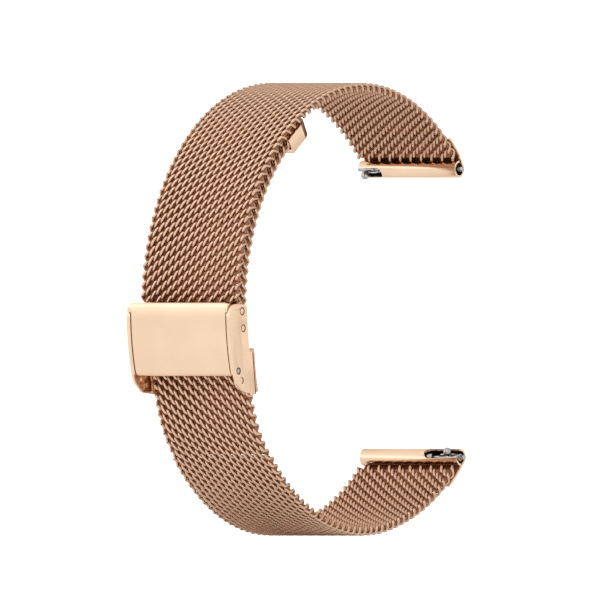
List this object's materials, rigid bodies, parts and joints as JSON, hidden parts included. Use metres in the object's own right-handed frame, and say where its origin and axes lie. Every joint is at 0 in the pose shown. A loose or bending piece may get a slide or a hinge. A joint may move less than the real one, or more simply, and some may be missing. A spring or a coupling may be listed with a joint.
{
  "type": "mesh watch strap",
  "caption": "Woven metal mesh watch strap bent in an open loop, with a snap-over sliding clasp, a loose tail and quick-release spring bars in folded end pieces.",
  "frame": {"origin": "on the upper spring bar's axis at mid width", "axes": "+X across the strap, +Y from the clasp toward the gap for the watch, +Z from the lower end piece to the upper one"},
  "size_m": [0.0214, 0.0712, 0.076],
  "materials": {
    "woven_mesh": "rose gold plated woven wire",
    "rose_gold_steel": "rose gold plated, polished",
    "spring_steel": "bright steel"
  },
  "bodies": {
    "upper_end": {"upper_end_sheet": "rose_gold_steel", "upper_mesh_stub": "woven_mesh", "upper_bar_barrel": "spring_steel", "upper_bar_fixed_tip": "spring_steel", "upper_bar_spring": "spring_steel"},
    "upper_release": {"upper_bar_release_tip": "spring_steel", "upper_bar_release_knob": "spring_steel"},
    "upper_strap_1": {"upper_mesh_1": "woven_mesh"},
    "upper_strap_2": {"upper_mesh_2": "woven_mesh"},
    "upper_strap_3": {"upper_mesh_3": "woven_mesh"},
    "upper_strap_4": {"upper_mesh_4": "woven_mesh"},
    "upper_clasp": {"upper_mesh_clasp": "woven_mesh", "strap_knuckle": "rose_gold_steel"},
    "cover": {"clasp_cover": "rose_gold_steel", "hinge_pin": "rose_gold_steel", "latch_pin": "rose_gold_steel", "snap_pin": "spring_steel"},
    "latch": {"inner_latch": "rose_gold_steel"},
    "slider": {"slider_sleeve": "rose_gold_steel", "catch_bar": "spring_steel", "lock_pin": "spring_steel"},
    "lock": {"lock_plate": "rose_gold_steel"},
    "long_strap": {"long_mesh": "woven_mesh", "tail_cap": "rose_gold_steel"},
    "lower_strap_1": {"lower_mesh_1": "woven_mesh"},
    "lower_strap_2": {"lower_mesh_2": "woven_mesh"},
    "lower_strap_3": {"lower_mesh_3": "woven_mesh"},
    "lower_strap_4": {"lower_mesh_4": "woven_mesh"},
    "lower_strap_5": {"lower_mesh_5": "woven_mesh"},
    "lower_strap_6": {"lower_mesh_6": "woven_mesh"},
    "lower_end": {"lower_mesh_stub": "woven_mesh", "lower_end_sheet": "rose_gold_steel", "lower_bar_barrel": "spring_steel", "lower_bar_fixed_tip": "spring_steel", "lower_bar_spring": "spring_steel"},
    "lower_release": {"lower_bar_release_tip": "spring_steel", "lower_bar_release_knob": "spring_steel"}
  },
  "joints": [
    {"name": "upper_quick_release", "type": "slide", "parent": "upper_end", "child": "upper_release", "axis": [1, 0, 0], "range_m": [0, 0.0011], "stiffness_N_per_m": 900, "springref_m": -0.0015, "deforming": ["upper_bar_spring"]},
    {"name": "upper_bend_1", "type": "hinge", "parent": "upper_end", "child": "upper_strap_1", "pos_m": [0, -0.00528, 0.00584], "axis": [1, 0, 0], "range_deg": [-10, 4]},
    {"name": "upper_bend_2", "type": "hinge", "parent": "upper_strap_1", "child": "upper_strap_2", "pos_m": [0, -0.01395, 0.0109], "axis": [1, 0, 0], "range_deg": [-10, 4]},
    {"name": "upper_bend_3", "type": "hinge", "parent": "upper_strap_2", "child": "upper_strap_3", "pos_m": [0, -0.02366, 0.01346], "axis": [1, 0, 0], "range_deg": [-10, 4]},
    {"name": "upper_bend_4", "type": "hinge", "parent": "upper_strap_3", "child": "upper_strap_4", "pos_m": [0, -0.0337, 0.01332], "axis": [1, 0, 0], "range_deg": [-10, 4]},
    {"name": "upper_bend_5", "type": "hinge", "parent": "upper_strap_4", "child": "upper_clasp", "pos_m": [0, -0.04334, 0.01051], "axis": [1, 0, 0], "range_deg": [-10, 4]},
    {"name": "cover_open", "type": "hinge", "parent": "upper_clasp", "child": "cover", "pos_m": [0, -0.06549, -0.02388], "axis": [-1, 0, 0], "range_deg": [0, 50]},
    {"name": "latch_lift", "type": "hinge", "parent": "cover", "child": "latch", "pos_m": [0, -0.06515, -0.02673], "axis": [-1, 0, 0], "range_deg": [0, 5]},
    {"name": "clasp_release", "type": "hinge", "parent": "upper_clasp", "child": "slider", "pos_m": [0, -0.0282, -0.02349], "axis": [1, 0, 0], "range_deg": [0, 12]},
    {"name": "lock_plate_open", "type": "hinge", "parent": "slider", "child": "lock", "pos_m": [0, -0.06084, -0.03583], "axis": [-1, 0, 0], "range_deg": [0, 75]},
    {"name": "length_adjust", "type": "hinge", "parent": "slider", "child": "long_strap", "pos_m": [0, -0.0282, -0.02349], "axis": [-1, 0, 0], "range_deg": [0, 5]},
    {"name": "lower_bend_1", "type": "hinge", "parent": "long_strap", "child": "lower_strap_1", "pos_m": [0, -0.05629, -0.04791], "axis": [1, 0, 0], "range_deg": [-10, 4]},
    {"name": "lower_bend_2", "type": "hinge", "parent": "lower_strap_1", "child": "lower_strap_2", "pos_m": [0, -0.04955, -0.05398], "axis": [1, 0, 0], "range_deg": [-10, 4]},
    {"name": "lower_bend_3", "type": "hinge", "parent": "lower_strap_2", "child": "lower_strap_3", "pos_m": [0, -0.04154, -0.05824], "axis": [1, 0, 0], "range_deg": [-10, 4]},
    {"name": "lower_bend_4", "type": "hinge", "parent": "lower_strap_3", "child": "lower_strap_4", "pos_m": [0, -0.03273, -0.06044], "axis": [1, 0, 0], "range_deg": [-10, 4]},
    {"name": "lower_bend_5", "type": "hinge", "parent": "lower_strap_4", "child": "lower_strap_5", "pos_m": [0, -0.02366, -0.06044], "axis": [1, 0, 0], "range_deg": [-10, 4]},
    {"name": "lower_bend_6", "type": "hinge", "parent": "lower_strap_5", "child": "lower_strap_6", "pos_m": [0, -0.01483, -0.05831], "axis": [1, 0, 0], "range_deg": [-10, 4]},
    {"name": "lower_bend_7", "type": "hinge", "parent": "lower_strap_6", "child": "lower_end", "pos_m": [0, -0.00654, -0.05442], "axis": [1, 0, 0], "range_deg": [-10, 4]},
    {"name": "lower_quick_release", "type": "slide", "parent": "lower_end", "child": "lower_release", "axis": [-1, 0, 0], "range_m": [0, 0.0011], "stiffness_N_per_m": 900, "springref_m": -0.0015, "deforming": ["lower_bar_spring"]}
  ]
}
